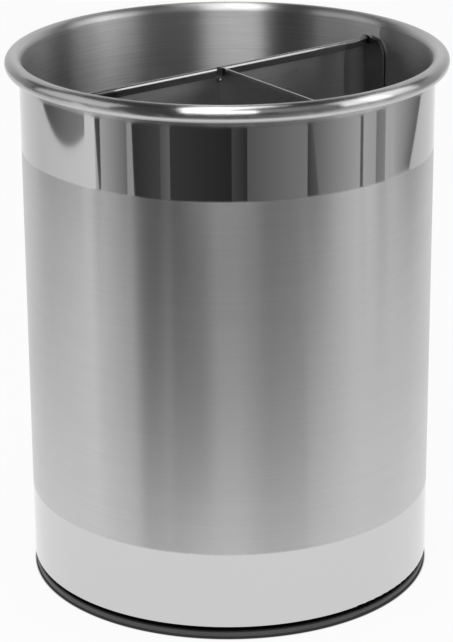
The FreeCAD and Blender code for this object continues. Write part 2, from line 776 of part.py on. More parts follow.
def make_half_wall():
    """Half wall with a plain top, drawn square along -Y from the joint and leant over by its placement."""
    body = new_body("divider_half_wall")
    lean = dim["half_lean"]
    slope = sine(lean) / cosine(lean)
    axis_x = dim["divider_offset"] * sine(lean)
    axis_y = -(dim["divider_offset"] * cosine(lean))
    start = half_sheet * slope + (half_sheet + dim["weld_gap"]) / cosine(lean)
    finish = flange_middle - axis_y

    pad(body, "straight", [
        (-half_sheet, -start), (-half_sheet, -finish), (half_sheet, -finish), (half_sheet, -start),
    ], divider_bottom, divider_height)

    def along(radius, x):
        offset = x - axis_x
        return axis_y - leg(radius, offset)

    tip = -dim["flange_width"]
    flange = pad(body, "flange", [
        (half_sheet, along(flange_in, half_sheet)), Bend(axis_x, axis_y, flange_in, True),
        (tip, along(flange_in, tip)), (tip, along(flange_out, tip)),
        Bend(axis_x, axis_y, flange_out, False), (half_sheet, along(flange_out, half_sheet)),
    ], divider_bottom, divider_height)

    def beside(x, distance):
        return x * slope - distance / cosine(lean)

    weld_near = half_sheet + dim["weld_gap"]
    weld_far = weld_near + dim["divider_sheet"]
    weld_tip = dim["weld_width"]
    weld_top = hem_foot - dim["hem_gap"]
    weld_height = weld_top - divider_bottom
    pad(body, "weld_flange", [
        (-half_sheet, beside(-half_sheet, weld_near)), (weld_tip, beside(weld_tip, weld_near)),
        (weld_tip, beside(weld_tip, weld_far)), (-half_sheet, beside(-half_sheet, weld_far)),
    ], divider_bottom, weld_height)

    tack_r = dim["tack_d"] / 2
    tack_z = divider_top - dim["tack_drop"]
    revolve(body, "tack_weld", [
        (-half_sheet, tack_z - tack_r), Bend(-half_sheet, tack_z, tack_r, False), (-half_sheet, tack_z + tack_r),
    ], axis_x=-half_sheet, offset=start + tack_r)

    sketch = new_sketch(body, "XZ_Plane", "spot_plan", weld_far, lean)
    spot_x = (weld_tip + half_sheet) / 2
    draw_circle(sketch, spot_x, divider_bottom + dim["weld_spot_margin"], dim["weld_spot_d"] / 2)
    spot = body.newObject("PartDesign::Pocket", "weld_spot")
    spot.Profile = sketch
    bind(spot, "Length", dim["weld_spot_depth"])
    spots = body.newObject("PartDesign::LinearPattern", "weld_spots")
    spots.Originals = [spot]
    spots.Direction = (origin_feature(body, "Z_Axis"), [""])
    bind(spots, "Length", weld_height - dim["weld_spot_margin"] * 2)
    spots.Occurrences = int(dim["weld_spot_count"].number)
    spots.setExpression("Occurrences", dim["weld_spot_count"].formula)
    body.Tip = spots

    flange_start = flange_out - axis_y
    depth = flange_start + along(flange_in, tip) + dim["divider_sheet"]
    round_corner(body, "upper_corner", "XZ_Plane", flange_start, depth, tip, divider_top,
                 dim["flange_round"], 1, 1)
    round_corner(body, "lower_corner", "XZ_Plane", flange_start, depth, tip, divider_bottom,
                 dim["flange_foot_round"], 1, -1)
    weld_start = -beside(-half_sheet, weld_far)
    depth = weld_start + beside(weld_tip, weld_near)
    round_corner(body, "weld_corner", "XZ_Plane", weld_start, depth, weld_tip, weld_top,
                 dim["flange_foot_round"], -1, 1)
    body.Placement.Rotation = FreeCAD.Rotation(FreeCAD.Vector(0, 0, -1), lean.number)
    body.Placement.Base = FreeCAD.Vector(0, dim["divider_offset"].number, 0)
    body.setExpression("Placement.Base.y", dim["divider_offset"].formula)
    body.setExpression("Placement.Rotation.Angle", lean.formula)
    return body


subparts = [
    make_foot_pan(),
    make_grip_ring(),
    make_ballast(),
    make_inner_race_lower(),
    make_inner_race_upper(),
    make_foot_screws(),
    make_ball_cage(),
    make_bearing_balls(),
    make_drum_shell(),
    make_drum_floor(),
    make_outer_race(),
    make_race_rivets(),
    make_floor_mat(),
    make_main_wall(),
    make_half_wall(),
]
doc.recompute()

for item in doc.Objects:
    if "Invalid" in item.State or "Error" in item.State:
        raise RuntimeError(f"{item.Label} did not build: {item.State}")

os.makedirs("parts", exist_ok=True)
for subpart in subparts:
    shape = subpart.Shape
    if shape.isNull() or not shape.isValid():
        raise RuntimeError(f"{subpart.Label} has no valid shape")
    shape.exportStep(f"parts/{subpart.Label}.step")
    box = shape.BoundBox
    print(f"{subpart.Label}: {len(shape.Solids)} solids, {shape.Volume:.0f} mm3, z {box.ZMin:.2f} to {box.ZMax:.2f}")
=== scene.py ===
import json
import math

import bpy
from mathutils import Matrix, Vector


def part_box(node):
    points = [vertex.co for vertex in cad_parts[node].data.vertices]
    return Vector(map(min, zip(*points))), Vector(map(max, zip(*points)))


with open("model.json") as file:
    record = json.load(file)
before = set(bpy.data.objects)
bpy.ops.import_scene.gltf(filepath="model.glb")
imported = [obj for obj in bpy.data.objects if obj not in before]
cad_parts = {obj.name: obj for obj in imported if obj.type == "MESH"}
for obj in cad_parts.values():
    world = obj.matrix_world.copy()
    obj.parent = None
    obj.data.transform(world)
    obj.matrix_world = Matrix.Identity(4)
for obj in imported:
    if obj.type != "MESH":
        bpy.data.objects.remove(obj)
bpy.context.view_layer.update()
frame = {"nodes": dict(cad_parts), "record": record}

MM = 0.001

# Camera, worked out from the outlines of the drum; the divider's main wall lies along X
CAMERA_TURN = math.radians(-38.7)
CAMERA_DISTANCE = 867.72 * MM
CAMERA_HEIGHT = 412.0 * MM
CAMERA_PITCH = math.radians(20.112)
CAMERA_ROLL = math.radians(-0.373)
CAMERA_YAW = math.radians(-0.055)
LENS = 138.37
SENSOR = 36.0

# Foot: its top face lies in the shadow gap; above the height below, its plastic is painted near black as
# painted shade
FOOT_PAINTED_SHADE_FROM = 2.5 * MM
FOOT_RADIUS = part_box("foot_pan")[1].x
FOOT_STEP = 0.4 * MM
# The floor's painted contact shadow reaches this far past the foot
FOOT_SHADE = 0.5 * MM

# Drum wall: two mirror bands with a satin band between them
drum_low, drum_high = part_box("drum_shell")
WALL_SHEET = 1.0 * MM
WALL_FACE = FOOT_RADIUS + FOOT_STEP
WALL_MIDDLE = WALL_FACE - WALL_SHEET / 2
SATIN_LOW = drum_low.z + 28.6 * MM
SATIN_HIGH = drum_high.z - 34.0 * MM

# Rolled rim: a hollow tube round the top of the wall
RIM_TUBE = 3.05 * MM
RIM_HOLLOW = 2.6 * MM
RIM_RADIUS = drum_high.x - RIM_TUBE
RIM_HEIGHT = drum_high.z - RIM_TUBE
RIM_LOW = drum_high.z - 7.9 * MM

# Roughness of the drum: that of the mirror bands, and what each brushed zone adds to it
MIRROR_ROUGH = 0.05
SATIN_ROUGH = 0.249
INSIDE_ROUGH = 0.29
RIM_ROUGH = 0.15

# Divider: a polished hem along the top, its top edge lighter as a painted highlight, swept ends, and flanges
# on the ends
divider_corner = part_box("divider_main_wall")[1]
HEM_LOW = divider_corner.z - 3.4 * MM
HEM_HIGHLIGHT_FROM = divider_corner.z - 1.0 * MM
FLANGE_START = divider_corner.x - 4.7 * MM
FLANGE_BACK = 4.0 * MM
BEND_START = divider_corner.x - 26.7 * MM
BEND_END = divider_corner.x - 10.7 * MM
BEND_SOFTNESS = 3.0 * MM
BEND_TURN = math.radians(9.0)

# Boards round the crock, in metres: how far out they stand, and the heights at which they meet
NEAR = 0.22
FAR = 0.6
BACK = 1.45
BACKDROP = 1.5
BOARD_SPLIT = 0.106
BOARD_TOP = 0.165
RAIL_TOP = 0.195

# Places of the mix node's two inputs and of its output, for each kind of data
MIX_SOCKETS = {"VECTOR": (4, 5, 1), "RGBA": (6, 7, 2)}


def add(tree, kind, sockets=None, **settings):
    """A node with its settings, and its sockets given as values or linked from other sockets."""
    made = tree.nodes.new(kind)
    for name, value in settings.items():
        setattr(made, name, value)
    for name, value in (sockets or {}).items():
        if isinstance(value, bpy.types.NodeSocket):
            tree.links.new(value, made.inputs[name])
        else:
            made.inputs[name].default_value = value
    return made


def worked(tree, operation, first, second=0.0):
    """A number worked out from one or two numbers."""
    return add(tree, "ShaderNodeMath", {0: first, 1: second}, operation=operation).outputs[0]


def total(tree, first, *others):
    for other in others:
        first = worked(tree, "ADD", first, other)
    return first


def product(tree, first, *others):
    for other in others:
        first = worked(tree, "MULTIPLY", first, other)
    return first


def less(tree, first, second):
    return worked(tree, "SUBTRACT", first, second)


def larger(tree, first, second):
    return worked(tree, "MAXIMUM", first, second)


def opposite(tree, mask):
    return less(tree, 1.0, mask)


def size_of(tree, value):
    """A number without its sign."""
    return worked(tree, "ABSOLUTE", value)


def vector(tree, operation, first, second=(0.0, 0.0, 0.0)):
    """A vector worked out from one or two vectors."""
    return add(tree, "ShaderNodeVectorMath", {0: first, 1: second}, operation=operation).outputs["Vector"]


def measured(tree, operation, first, second=(0.0, 0.0, 0.0)):
    """A number worked out from one or two vectors."""
    return add(tree, "ShaderNodeVectorMath", {0: first, 1: second}, operation=operation).outputs["Value"]


def scaled(tree, value, old_range, new_range, smooth=False):
    """A value taken from one range to another."""
    made = add(tree, "ShaderNodeMapRange", {
        "Value": value,
        "From Min": old_range[0], "From Max": old_range[1],
        "To Min": new_range[0], "To Max": new_range[1],
    }, interpolation_type="SMOOTHSTEP" if smooth else "LINEAR")
    return made.outputs["Result"]


def between(tree, mask, low, high):
    """A value that is low where the mask is 0, and high where it is 1."""
    return scaled(tree, mask, (0.0, 1.0), (low, high))


def above(tree, value, level, softness):
    """A mask that is 1 where the value lies over the level."""
    return scaled(tree, value, (level - softness, level + softness), (0.0, 1.0), smooth=True)


def blend(tree, kind, mask, first, second):
    """A vector or colour that is the first where the mask is 0, and the second where it is 1."""
    first_socket, second_socket, result = MIX_SOCKETS[kind]
    made = add(tree, "ShaderNodeMix", {0: mask, first_socket: first, second_socket: second}, data_type=kind)
    return made.outputs[result]


def grey(level):
    return (level, level, level)


def tinted(tree, mask, first, second):
    """A colour between two colours, each a socket or its three numbers."""
    first, second = (colour if isinstance(colour, bpy.types.NodeSocket) else (*colour, 1.0)
                     for colour in (first, second))
    return blend(tree, "RGBA", mask, first, second)


def noise(tree, place, detail, roughness=0.5, distortion=0.0):
    """Cloudy noise over a place, one cloud to each count of it."""
    made = add(tree, "ShaderNodeTexNoise", {
        "Vector": place, "Scale": 1.0, "Detail": detail, "Roughness": roughness, "Distortion": distortion,
    })
    return made.outputs["Fac"]


def object_place(tree):
    return add(tree, "ShaderNodeTexCoord").outputs["Object"]


def split(tree, place):
    return add(tree, "ShaderNodeSeparateXYZ", {0: place}).outputs


def mesh_normal(tree):
    return add(tree, "ShaderNodeNewGeometry").outputs["Normal"]


def stretched_place(tree, along, across):
    """The surface's place, counted in lengths along the sheet and in widths up it."""
    steps = add(tree, "ShaderNodeCombineXYZ", {"X": along, "Y": along, "Z": across}).outputs[0]
    return vector(tree, "DIVIDE", object_place(tree), steps)


def round_place(tree):
    """The surface's place as the way out from the axis, the distance from it and the height."""
    place = object_place(tree)
    flat = vector(tree, "MULTIPLY", place, (1.0, 1.0, 0.0))
    return vector(tree, "NORMALIZE", flat), measured(tree, "LENGTH", flat), split(tree, place)["Z"]


def raised(tree, height, depth, strength, normal=None):
    """The surface normal over a height map."""
    sockets = {"Height": height, "Distance": depth, "Strength": strength}
    if normal is not None:
        sockets["Normal"] = normal
    return add(tree, "ShaderNodeBump", sockets).outputs["Normal"]


def new_group(name, inputs, outputs):
    """An empty node group with number inputs and outputs, and the sockets of its two end nodes."""
    tree = bpy.data.node_groups.new(name, "ShaderNodeTree")
    for socket, value in inputs.items():
        made = tree.interface.new_socket(socket, in_out="INPUT", socket_type="NodeSocketFloat")
        made.default_value = value
    for socket in outputs:
        tree.interface.new_socket(socket, in_out="OUTPUT", socket_type="NodeSocketFloat")
    return tree, tree.nodes.new("NodeGroupInput").outputs, tree.nodes.new("NodeGroupOutput").inputs


def brush_lines_group():
    """Level brush strokes: fine lines, and the slower drift of the belt's pressure."""
    tree, given, result = new_group("brush_lines", {"Stroke": 40 * MM, "Line": 0.4 * MM}, ("Lines", "Drift"))
    fine = noise(tree, stretched_place(tree, given["Stroke"], given["Line"]), detail=4.0, roughness=0.65)
    long = product(tree, given["Stroke"], 1.7)
    wide = product(tree, given["Line"], 9.0)
    slow = noise(tree, stretched_place(tree, long, wide), detail=2.0)
    tree.links.new(scaled(tree, fine, (0.25, 0.75), (0.0, 1.0)), result["Lines"])
    tree.links.new(scaled(tree, slow, (0.3, 0.7), (0.0, 1.0)), result["Drift"])
    return tree


def handling_group():
    """Signs of handling: soft smudges."""
    tree, given, result = new_group("handling", {"Spread": 30 * MM}, ("Smudge",))
    place = stretched_place(tree, given["Spread"], given["Spread"])
    cloud = noise(tree, place, detail=5.0, roughness=0.6, distortion=0.4)
    tree.links.new(scaled(tree, cloud, (0.45, 0.75), (0.0, 1.0)), result["Smudge"])
    return tree


def moulded_grain_group():
    """The fine grain of moulded plastic and rubber, with a slow mottle under it."""
    tree, given, result = new_group("moulded_grain", {"Grain": 0.6 * MM}, ("Height", "Mottle"))
    fine_place = stretched_place(tree, given["Grain"], given["Grain"])
    fine = add(tree, "ShaderNodeTexVoronoi", {"Vector": fine_place, "Scale": 1.0}, feature="SMOOTH_F1")
    wide = product(tree, given["Grain"], 24.0)
    slow = noise(tree, stretched_place(tree, wide, wide), detail=4.0, roughness=0.6)
    tree.links.new(fine.outputs["Distance"], result["Height"])
    tree.links.new(scaled(tree, slow, (0.3, 0.7), (0.0, 1.0)), result["Mottle"])
    return tree


def turned_rings_group():
    """Rings left by turning about the axis of the crock, uneven from ring to ring."""
    tree, given, result = new_group("turned_rings", {"Ring": 0.5 * MM}, ("Rings",))
    radius, height = round_place(tree)[1:]
    spot = worked(tree, "DIVIDE", total(tree, radius, height), given["Ring"])
    rings = add(tree, "ShaderNodeTexNoise", {"W": spot, "Scale": 1.0, "Detail": 3.0, "Roughness": 0.6},
                noise_dimensions="1D")
    tree.links.new(scaled(tree, rings.outputs["Fac"], (0.25, 0.75), (0.0, 1.0)), result["Rings"])
    return tree


groups = {
    "brush_lines": brush_lines_group(),
    "handling": handling_group(),
    "moulded_grain": moulded_grain_group(),
    "turned_rings": turned_rings_group(),
}


def use(tree, group, **values):
    """A group placed in a material with its own values."""
    made = tree.nodes.new("ShaderNodeGroup")
    made.node_tree = groups[group]
    for name, value in values.items():
        made.inputs[name].default_value = value
    return made.outputs


def new_material(name, **constants):
    """A material with a plain surface shader whose fixed values are set on its own sockets."""
    material = bpy.data.materials.new(name)
    material.use_nodes = True
    tree = material.node_tree
    shader = tree.nodes["Principled BSDF"]
    for socket, value in constants.items():
        shader.inputs[socket.replace("_", " ")].default_value = value
    return material, tree, shader.inputs


def feed(tree, shader, **sources):
    """Links what varies over the surface to the shader's sockets."""
    for socket, source in sources.items():
        tree.links.new(source, shader[socket.replace("_", " ")])


def smooth_rim(tree):
    """The surface normal, with the rolled rim's worked out from its round section."""
    outward, radius, height = round_place(tree)
    across = less(tree, radius, RIM_RADIUS)
    rise = less(tree, height, RIM_HEIGHT)
    sideways = add(tree, "ShaderNodeVectorMath", {0: outward, "Scale": across}, operation="SCALE").outputs[0]
    upwards = add(tree, "ShaderNodeCombineXYZ", {"Z": rise}).outputs[0]
    spoke = vector(tree, "ADD", sideways, upwards)
    from_tube = add(tree, "ShaderNodeVectorTransform", {0: spoke}, vector_type="NORMAL",
                    convert_from="OBJECT", convert_to="WORLD").outputs[0]
    top_half = above(tree, height, RIM_HEIGHT, softness=0.05 * MM)
    past_wall = above(tree, radius, WALL_FACE + 0.3 * MM, softness=0.05 * MM)
    outer_skin = above(tree, measured(tree, "LENGTH", spoke), RIM_HOLLOW, softness=0.1 * MM)
    on_rim = product(tree, larger(tree, top_half, past_wall), outer_skin)
    return vector(tree, "NORMALIZE", blend(tree, "VECTOR", on_rim, mesh_normal(tree), from_tube))


def drum_zones(tree):
    """Masks of the satin band, of the inside with the rim's inner side, and of the rest of the rim."""
    radius, height = round_place(tree)[1:]
    rim = above(tree, height, RIM_LOW, softness=1.5 * MM)
    outside = above(tree, radius, WALL_MIDDLE, softness=0.1 * MM)
    band = less(tree, above(tree, height, SATIN_LOW, softness=0.6 * MM),
                above(tree, height, SATIN_HIGH, softness=0.6 * MM))
    satin = product(tree, outside, band)
    rim_outer = product(tree, rim, above(tree, radius, RIM_RADIUS, softness=2.5 * MM))
    wall_outer = product(tree, outside, opposite(tree, rim))
    inside = opposite(tree, larger(tree, rim_outer, wall_outer))
    return satin, inside, rim_outer


def drum_steel():
    """Stainless sheet: satin band, inside and rim brushed round the drum, the rest mirror polished."""
    material, tree, steel = new_material("drum_steel", Metallic=1.0, Anisotropic=1.0,
                                         Anisotropic_Rotation=0.25)
    satin, inside, rim = drum_zones(tree)
    fine = use(tree, "brush_lines", Stroke=42 * MM, Line=0.42 * MM)
    coarse = use(tree, "brush_lines", Stroke=30 * MM, Line=0.5 * MM)
    marks = use(tree, "handling", Spread=32 * MM)
    fine_lines = product(tree, fine["Lines"], satin)
    coarse_lines = product(tree, coarse["Lines"], inside)
    outer_tone = tinted(tree, fine_lines, grey(0.61), grey(0.66))
    inner_tone = tinted(tree, coarse_lines, grey(0.58), grey(0.74))
    zone_rough = total(tree, product(tree, satin, SATIN_ROUGH), product(tree, inside, INSIDE_ROUGH),
                       product(tree, rim, RIM_ROUGH))
    drifting = product(tree, fine["Drift"], satin, 0.012)
    smudged = product(tree, marks["Smudge"], 0.02)
    height = total(tree, fine_lines, product(tree, coarse_lines, 20.0))
    feed(tree, steel,
         Base_Color=tinted(tree, inside, outer_tone, inner_tone),
         Roughness=total(tree, zone_rough, drifting, smudged, MIRROR_ROUGH),
         Normal=raised(tree, height, 0.0014 * MM, 1.0, smooth_rim(tree)),
         Tangent=add(tree, "ShaderNodeTangent", direction_type="RADIAL", axis="Z").outputs[0])
    return material


def eased_bend(tree, across):
    """The surface normal, turned so that the sheet's swept ends begin gently."""
    aside = size_of(tree, across)
    gained = less(tree, above(tree, aside, BEND_START, BEND_SOFTNESS),
                  above(tree, aside, BEND_END, BEND_SOFTNESS))
    angle = product(tree, gained, BEND_TURN, worked(tree, "SIGN", across))
    return add(tree, "ShaderNodeVectorRotate", {"Vector": mesh_normal(tree), "Angle": angle},
               rotation_type="Z_AXIS").outputs[0]


def cut_edges(tree, outward, place):
    """A mask of the sheared edges of the end flanges."""
    facing = add(tree, "ShaderNodeTexCoord").outputs["Normal"]
    squareness = size_of(tree, measured(tree, "DOT_PRODUCT", outward, facing))
    at_end = above(tree, size_of(tree, place["X"]), FLANGE_START, softness=0.3 * MM)
    behind = above(tree, place["Y"], FLANGE_BACK, softness=0.5 * MM)
    on_face = above(tree, squareness, 0.6, softness=0.2)
    return product(tree, at_end, opposite(tree, behind), opposite(tree, on_face))


def divider_steel():
    """Thinner stainless sheet, brushed level along the walls, with dull sheared edges; darker than the
    drum's steel as painted shade, with a painted highlight along the hem's top edge.
    """
    material, tree, steel = new_material("divider_steel", Metallic=1.0, Anisotropic=1.0,
                                         Anisotropic_Rotation=0.25)
    strokes = use(tree, "brush_lines", Stroke=36 * MM, Line=0.36 * MM)
    marks = use(tree, "handling", Spread=24 * MM)
    place = split(tree, object_place(tree))
    outward = round_place(tree)[0]
    # Painted shade: the sheet's tone is about half the drum steel's, for the shade inside the drum
    sheet_painted_shade_tone = tinted(tree, strokes["Lines"], grey(0.31), grey(0.37))
    # Painted highlight: the top edge of the hem gets a lighter tone
    painted_highlight_tone = tinted(tree, strokes["Lines"], grey(0.42), grey(0.48))
    edge = above(tree, place["Z"], HEM_HIGHLIGHT_FROM, softness=0.3 * MM)
    tone = tinted(tree, edge, sheet_painted_shade_tone, painted_highlight_tone)
    smudged = product(tree, marks["Smudge"], 0.03)
    sheet_rough = total(tree, between(tree, strokes["Drift"], 0.27, 0.31), smudged)
    hem = above(tree, place["Z"], HEM_LOW, softness=0.2 * MM)
    # Not quite upright, so that level faces have a brush direction too
    almost_up = (0.02, 0.013, 1.0)
    feed(tree, steel,
         Base_Color=tinted(tree, cut_edges(tree, outward, place), tone, grey(0.1)),
         Roughness=less(tree, sheet_rough, product(tree, hem, 0.1)),
         Normal=raised(tree, strokes["Lines"], 0.002 * MM, 1.0, eased_bend(tree, place["X"])),
         Tangent=vector(tree, "CROSS_PRODUCT", almost_up, mesh_normal(tree)))
    return material


def moulded(name, dark, light, grain, rough, depth, painted_shade_from=None):
    """Moulded plastic or rubber with a fine grain, painted near black above a height where one is given, as
    painted shade.
    """
    material, tree, surface = new_material(name)
    skin = use(tree, "moulded_grain", Grain=grain)
    marks = use(tree, "handling", Spread=18 * MM)
    tone = tinted(tree, skin["Mottle"], dark, light)
    if painted_shade_from is not None:
        # Painted shade: the plastic turns near black above the given height, where the shadow gap falls
        painted_shade = above(tree, round_place(tree)[2], painted_shade_from, softness=0.1 * MM)
        tone = tinted(tree, painted_shade, tone, grey(0.003))
    smudged = product(tree, marks["Smudge"], 0.06)
    feed(tree, surface,
         Base_Color=tone,
         Roughness=less(tree, between(tree, skin["Mottle"], *rough), smudged),
         Normal=raised(tree, skin["Height"], depth, 0.5))
    return material


def turned(name, dark, light, ring, rough):
    """Metal turned or ground about the axis of the crock."""
    material, tree, metal = new_material(name, Metallic=1.0)
    rings = use(tree, "turned_rings", Ring=ring)["Rings"]
    marks = use(tree, "handling", Spread=12 * MM)
    smudged = product(tree, marks["Smudge"], 0.08)
    feed(tree, metal,
         Base_Color=tinted(tree, rings, dark, light),
         Roughness=total(tree, between(tree, rings, *rough), smudged),
         Normal=raised(tree, rings, 0.01 * MM, 0.4))
    return material


def ballast_iron():
    """Cast iron under a thin film of oil."""
    material, tree, iron = new_material("ballast_iron", Metallic=0.85)
    skin = use(tree, "moulded_grain", Grain=1.1 * MM)
    marks = use(tree, "handling", Spread=14 * MM)
    feed(tree, iron,
         Base_Color=tinted(tree, skin["Mottle"], (0.09, 0.088, 0.085), (0.15, 0.148, 0.145)),
         Roughness=between(tree, marks["Smudge"], 0.62, 0.38),
         Normal=raised(tree, skin["Height"], 0.12 * MM, 0.7))
    return material


materials = {
    "drum_steel": drum_steel(),
    "divider_steel": divider_steel(),
    "foot_plastic": moulded("foot_plastic", (0.052, 0.052, 0.054), (0.07, 0.07, 0.072), grain=0.5 * MM,
                            rough=(0.42, 0.55), depth=0.03 * MM, painted_shade_from=FOOT_PAINTED_SHADE_FROM),
    "grip_rubber": moulded("grip_rubber", (0.022, 0.022, 0.023), (0.036, 0.036, 0.037), grain=0.8 * MM,
                           rough=(0.72, 0.86), depth=0.05 * MM),
    "mat_silicone": moulded("mat_silicone", (0.042, 0.042, 0.044), (0.058, 0.058, 0.06), grain=0.7 * MM,
                            rough=(0.6, 0.74), depth=0.03 * MM),
    "cage_plastic": moulded("cage_plastic", (0.74, 0.73, 0.69), (0.82, 0.81, 0.77), grain=0.6 * MM,
                            rough=(0.38, 0.5), depth=0.01 * MM),
    "race_aluminium": turned("race_aluminium", (0.66, 0.66, 0.67), (0.76, 0.76, 0.77), ring=0.35 * MM,
                             rough=(0.2, 0.32)),
    "rivet_aluminium": turned("rivet_aluminium", (0.66, 0.66, 0.665), (0.72, 0.72, 0.725), ring=0.6 * MM,
                              rough=(0.28, 0.36)),
    "screw_steel": turned("screw_steel", (0.54, 0.54, 0.55), (0.62, 0.62, 0.64), ring=0.3 * MM,
                          rough=(0.24, 0.34)),
    "ball_steel": turned("ball_steel", (0.63, 0.63, 0.64), (0.67, 0.67, 0.68), ring=0.9 * MM,
                         rough=(0.04, 0.07)),
    "ballast_iron": ballast_iron(),
}
for subpart in frame["record"]["subparts"]:
    piece = frame["nodes"][subpart["node"]]
    piece.material_slots[0].material = materials[subpart["material_slot"]]


def from_camera_side(turn, distance, height):
    """A point given by its turn from the camera's side, rightwards, in degrees."""
    angle = math.radians(turn)
    here = Vector((distance * math.sin(angle), -distance * math.cos(angle), height))
    return Matrix.Rotation(CAMERA_TURN, 3, "Z") @ here


def place_camera():
    """Camera at the photograph's place, level but for a small roll."""
    forward = Vector((math.sin(CAMERA_YAW) * math.cos(CAMERA_PITCH),
                      math.cos(CAMERA_YAW) * math.cos(CAMERA_PITCH),
                      -math.sin(CAMERA_PITCH)))
    level_right = Vector((math.cos(CAMERA_YAW), -math.sin(CAMERA_YAW), 0.0))
    level_up = level_right.cross(forward)
    right = math.cos(CAMERA_ROLL) * level_right + math.sin(CAMERA_ROLL) * level_up
    up = math.cos(CAMERA_ROLL) * level_up - math.sin(CAMERA_ROLL) * level_right
    aim = Matrix.Rotation(CAMERA_TURN, 3, "Z") @ Matrix((right, up, -forward)).transposed()
    data = bpy.data.cameras.new("camera")
    data.lens = LENS
    data.sensor_width = SENSOR
    data.clip_start = 0.01
    camera = bpy.data.objects.new("camera", data)
    stand = from_camera_side(0.0, CAMERA_DISTANCE, CAMERA_HEIGHT)
    camera.matrix_world = Matrix.Translation(stand) @ aim.to_4x4()
    bpy.context.scene.collection.objects.link(camera)
    bpy.context.scene.camera = camera


def seen_directly(tree):
    """1 for what the camera sees, straight or by reflection in metal, and 0 for soft light."""
    path = add(tree, "ShaderNodeLightPath").outputs
    seen = larger(tree, path["Is Camera Ray"], path["Is Glossy Ray"])
    return larger(tree, seen, path["Is Transmission Ray"])


def light_the_room():
    """White all round to the eye, and a plain soft level of light."""
    world = bpy.data.worlds.new("room")
    world.use_nodes = True
    world.cycles.sampling_method = "NONE"
    tree = world.node_tree
    background = tree.nodes["Background"].inputs
    background["Color"].default_value = (1.0, 1.0, 1.0, 1.0)
    tree.links.new(between(tree, seen_directly(tree), 0.55, 1.0), background["Strength"])
    bpy.context.scene.world = world


def softbox(name, turn, distance, height, tilt, size, level):
    """A soft lamp round the crock, tilted up from facing the floor; its level is its cloth's brightness."""
    data = bpy.data.lights.new(name, "AREA")
    data.shape = "RECTANGLE"
    data.size, data.size_y = size
    data.energy = level * size[0] * size[1] * math.pi
    lamp = bpy.data.objects.new(name, data)
    lamp.location = from_camera_side(turn, distance, height)
    lamp.rotation_euler = (math.radians(tilt), 0.0, CAMERA_TURN + math.radians(turn))
    lamp.visible_camera = False
    bpy.context.scene.collection.objects.link(lamp)


def hang_the_lamps():
    """One softbox in front, and a long one overhead."""
    softbox("front_softbox", turn=-4.0, distance=0.975, height=0.825, tilt=60.0,
            size=(0.72, 0.84), level=2.5)
    softbox("top_softbox", turn=-20.0, distance=0.27, height=1.1, tilt=0.0,
            size=(0.3, 1.1), level=2.5)


def bare_material(name):
    """A material without a shader, and its tree."""
    material = bpy.data.materials.new(name)
    material.use_nodes = True
    material.node_tree.nodes.clear()
    return material, material.node_tree


def lay_floor():
    """White floor that keeps a faint shadow, and has a painted contact shadow, a dark disc where the foot
    stands on it.
    """
    half = 6.0
    corners = [(-half, -half, 0), (half, -half, 0), (half, half, 0), (-half, half, 0)]
    mesh = bpy.data.meshes.new("floor")
    mesh.from_pydata(corners, [], [(0, 1, 2, 3)])
    floor = bpy.data.objects.new("floor", mesh)
    material, tree = bare_material("floor_white")
    matt = add(tree, "ShaderNodeBsdfDiffuse", {"Color": (*grey(0.85), 1.0)}).outputs[0]
    # Painted contact shadow: the floor is dark straight on inside this reach of the axis
    clear = above(tree, round_place(tree)[1], FOOT_RADIUS + FOOT_SHADE, softness=0.4 * MM)
    glow = add(tree, "ShaderNodeEmission", {"Strength": between(tree, clear, 0.035, 1.0)}).outputs[0]
    share = product(tree, seen_directly(tree), between(tree, clear, 1.0, 0.92))
    mixed = add(tree, "ShaderNodeMixShader", {0: share, 1: matt, 2: glow}).outputs[0]
    add(tree, "ShaderNodeOutputMaterial", {"Surface": mixed})
    mesh.materials.append(material)
    bpy.context.scene.collection.objects.link(floor)


def board_cloth():
    """Cloth of the boards: each one's grey is kept on its corners."""
    material, tree = bare_material("board_grey")
    material.cycles.emission_sampling = "NONE"
    kept_grey = add(tree, "ShaderNodeAttribute", attribute_name="grey").outputs["Fac"]
    glow = add(tree, "ShaderNodeEmission", {"Strength": kept_grey}).outputs[0]
    add(tree, "ShaderNodeOutputMaterial", {"Surface": glow})
    return material


def only_in_mirrors(name, mesh, greys, cloth, shadow=False):
    """A board of the set that shows in steel alone, and may keep the lamps off what is behind it."""
    mesh.attributes.new("grey", "FLOAT", "POINT").data.foreach_set("value", greys)
    mesh.materials.append(cloth)
    board = bpy.data.objects.new(name, mesh)
    board.visible_camera = False
    board.visible_diffuse = False
    board.visible_shadow = shadow
    bpy.context.scene.collection.objects.link(board)


def mirrored_turn(place, distance):
    """How far round a board stands that shows at a place on the wall, both from the camera's side."""
    turn = math.radians(place)
    aside = math.atan2(WALL_FACE * math.sin(turn), CAMERA_DISTANCE - WALL_FACE * math.cos(turn))
    lean = turn + aside
    return math.degrees(turn + lean - math.asin(WALL_FACE / distance * math.sin(lean)))


def upright_board(name, cloth, distance, heights, places, greys, bow=0.0, lean=0.0, shadow=False):
    """A bent upright board, from the place on the wall where its first end shows to that of its second.

    Its low edge may be bowed, and the top of its second end may lean further round.
    """
    bow_middle = 0.6
    columns = 24
    corners, shades = [], []
    for column in range(columns + 1):
        share = column / columns
        low_turn = mirrored_turn(places[0] + (places[1] - places[0]) * share, distance)
        high_turn = mirrored_turn(places[0] + (places[1] + lean - places[0]) * share, distance)
        low_edge = heights[0] + bow * (share / bow_middle - 1.0) ** 2
        corners.append(from_camera_side(low_turn, distance, low_edge))
        corners.append(from_camera_side(high_turn, distance, heights[1]))
        shades += [greys[0] + (greys[1] - greys[0]) * share] * 2
    faces = [(2 * i, 2 * i + 2, 2 * i + 3, 2 * i + 1) for i in range(columns)]
    mesh = bpy.data.meshes.new(name)
    mesh.from_pydata(corners, [], faces)
    only_in_mirrors(name, mesh, shades, cloth, shadow)


